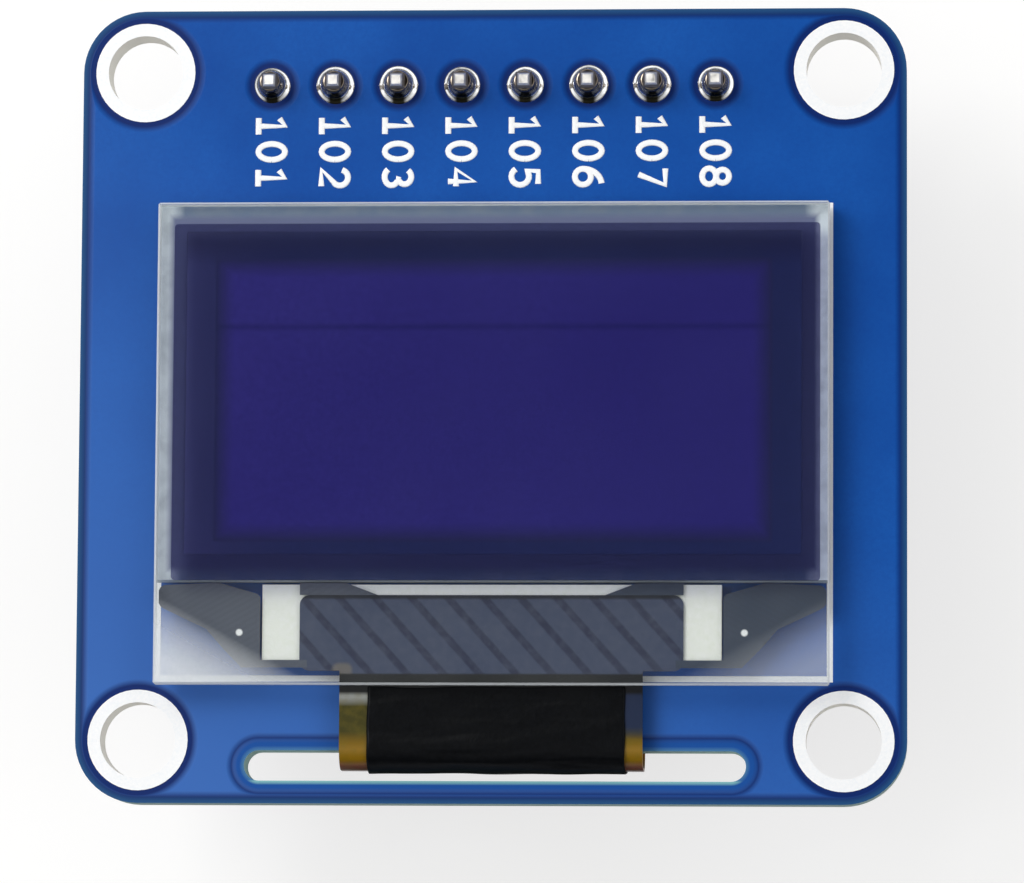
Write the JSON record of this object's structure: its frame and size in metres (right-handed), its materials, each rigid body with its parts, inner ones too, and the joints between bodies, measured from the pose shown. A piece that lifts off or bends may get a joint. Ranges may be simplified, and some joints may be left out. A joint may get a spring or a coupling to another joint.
{
  "type": "small organic light-emitting display module",
  "caption": "Small rectangular display of glass on a square blue circuit board with corner mounting holes, a folded flexible circuit through a slot, and a row of pins.",
  "frame": {"origin": "centre of the rectangle of the four mounting holes, on the back face of the circuit board", "axes": "+Z out of the display, square to the board; +X along the row of pins; +Y from the display's ledge to the row of pins"},
  "size_m": [0.033, 0.0318, 0.0118],
  "materials": {
    "board": "blue solder mask over glass-fibre laminate, satin gloss",
    "print": "white printed ink",
    "foam": "white double-sided foam tape",
    "glass": "clear cut glass, polished faces",
    "desiccant": "pressed drying sheet",
    "seal": "cured clear resin",
    "border": "dark thin film behind glass",
    "pixels": "indigo-looking stack of thin layers behind the polarizer",
    "polarizer": "dark film, satin",
    "conductors": "thin dark metal on glass",
    "flex": "amber polyimide over copper",
    "tape": "black adhesive tape, slightly wrinkled",
    "chip": "bare silicon",
    "header_plastic": "black moulded plastic",
    "pins": "tin over brass, bright",
    "solder": "bright solder",
    "ceramic": "tan ceramic with tinned ends",
    "resistor": "black glaze on white ceramic with tinned ends",
    "moulding": "black moulding resin",
    "leads": "tinned copper"
  },
  "bodies": {
    "root": {"circuit_board": "board", "silkscreen_print": "print", "foam_tape": "foam", "ledge_pad": "foam", "cap_glass": "glass", "desiccant_sheet": "desiccant", "seal_frame": "seal", "emissive_stack": "pixels", "border_film": "border", "substrate_glass": "glass", "polarizer": "polarizer", "electrode_traces": "conductors", "flex_circuit": "flex", "flex_solder": "solder", "black_tape": "tape", "driver_chip": "chip", "header_body": "header_plastic", "header_pin_1": "pins", "header_pin_2": "pins", "header_pin_3": "pins", "header_pin_4": "pins", "header_pin_5": "pins", "header_pin_6": "pins", "header_pin_7": "pins", "header_pin_8": "pins", "solder_joint_1": "solder", "solder_joint_2": "solder", "solder_joint_3": "solder", "solder_joint_4": "solder", "solder_joint_5": "solder", "solder_joint_6": "solder", "solder_joint_7": "solder", "solder_joint_8": "solder", "capacitor_1": "ceramic", "capacitor_2": "ceramic", "capacitor_3": "ceramic", "capacitor_4": "ceramic", "capacitor_5": "ceramic", "capacitor_6": "ceramic", "capacitor_7": "ceramic", "resistor_1": "resistor", "resistor_2": "resistor", "resistor_3": "resistor", "resistor_4": "resistor", "resistor_5": "resistor", "resistor_6": "resistor", "regulator_body": "moulding", "regulator_leads": "leads", "diode_body": "moulding", "diode_leads": "leads", "part_solder": "solder"}
  },
  "joints": []
}
